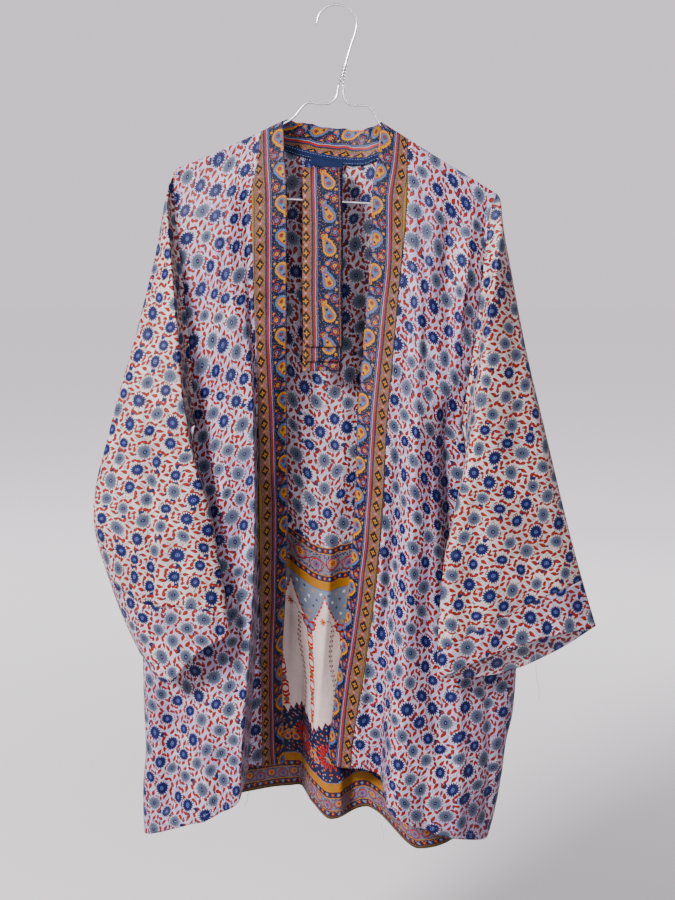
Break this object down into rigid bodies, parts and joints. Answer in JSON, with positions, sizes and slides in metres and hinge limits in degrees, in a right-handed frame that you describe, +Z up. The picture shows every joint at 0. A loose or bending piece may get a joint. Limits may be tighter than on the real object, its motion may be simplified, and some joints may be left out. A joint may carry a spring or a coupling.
{
  "type": "short kimono jacket on a wire hanger",
  "caption": "Short open kimono jacket of printed silk with wide straight sleeves and border bands down the fronts, hanging on a wire hanger with its belt folded inside.",
  "frame": {"origin": "inside of the top of the hanger's hook, where a rail or peg carries it", "axes": "+Z up, the fronts face -Y, +X towards the wearer's left sleeve"},
  "size_m": [0.5859, 0.1185, 0.9737],
  "materials": {
    "silk_print": "soft sheen, printed",
    "silk_print_warm": "soft sheen, printed",
    "border_print": "soft sheen, printed",
    "navy_tape": "matt woven tape",
    "wire": "galvanised wire"
  },
  "bodies": {
    "root": {"back_upper_right": "silk_print", "back_upper_left": "silk_print", "back_middle_right": "silk_print", "back_middle_left": "silk_print", "back_lower_right": "silk_print", "back_lower_left": "silk_print", "front_left_upper": "silk_print", "front_left_middle": "silk_print", "front_left_lower": "silk_print", "front_right_upper": "silk_print", "front_right_middle": "silk_print", "front_right_lower": "silk_print", "sleeve_left_upper": "silk_print_warm", "sleeve_left_lower": "silk_print_warm", "cuff_left": "silk_print", "band_left_upper": "border_print", "band_left_lower": "border_print", "sleeve_right_upper": "silk_print_warm", "sleeve_right_lower": "silk_print_warm", "cuff_right": "silk_print", "band_right_upper": "border_print", "band_right_lower": "border_print", "band_neck": "border_print", "neck_tape": "navy_tape", "label_tab": "navy_tape", "belt": "border_print", "hanger_hook": "wire", "hanger_frame": "wire", "hanger_twist": "wire"}
  },
  "joints": []
}
